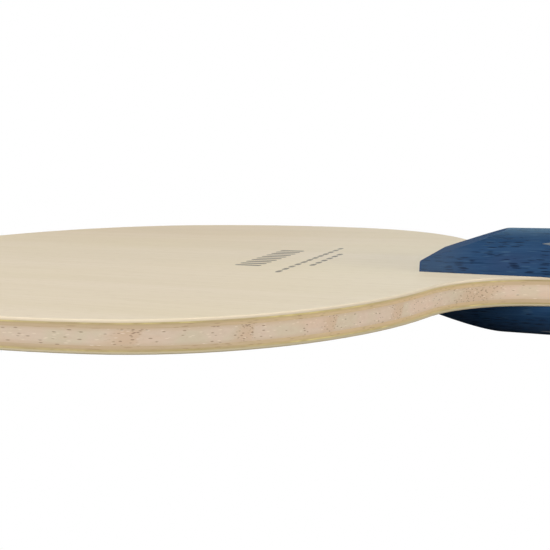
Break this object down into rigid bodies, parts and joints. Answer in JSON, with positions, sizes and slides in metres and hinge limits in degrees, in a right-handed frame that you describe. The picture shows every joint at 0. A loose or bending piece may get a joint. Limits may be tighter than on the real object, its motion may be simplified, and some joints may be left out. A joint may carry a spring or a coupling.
{
  "type": "table tennis blade",
  "caption": "Bare shakehand table tennis blade: round laminated wood and fibre head, full-length tang, and blue flared wooden handle scales; the faces take rubber sheets.",
  "frame": {"origin": "middle of the whole blade: half way along, on the centre line, at the middle of the core ply", "axes": "+X along the handle from the tip of the head to the butt, +Y across the blade, +Z the outward normal of the forehand face"},
  "size_m": [0.257, 0.15, 0.0236],
  "materials": {
    "face_veneer": "smooth sanded pale veneer, fine straight grain along the handle, matt",
    "fibre": "resin-bonded woven fibre sheet, seen edge-on as a thin olive line",
    "inner_veneer": "tan veneer, sanded edge",
    "core_wood": "light ring-porous wood, pinkish beige with grey pores, sanded edge",
    "handle_wood": "open-pored wood stained dark blue, satin",
    "printing_ink": "thin grey-brown ink printed on the veneer",
    "silver_foil": "dull silver foil line stamped on the handle"
  },
  "bodies": {
    "root": {"outer_ply_forehand": "face_veneer", "fibre_layer_forehand": "fibre", "inner_ply_forehand": "inner_veneer", "core_ply": "core_wood", "inner_ply_backhand": "inner_veneer", "fibre_layer_backhand": "fibre", "outer_ply_backhand": "face_veneer", "handle_scale_forehand": "handle_wood", "handle_scale_backhand": "handle_wood"}
  },
  "joints": []
}
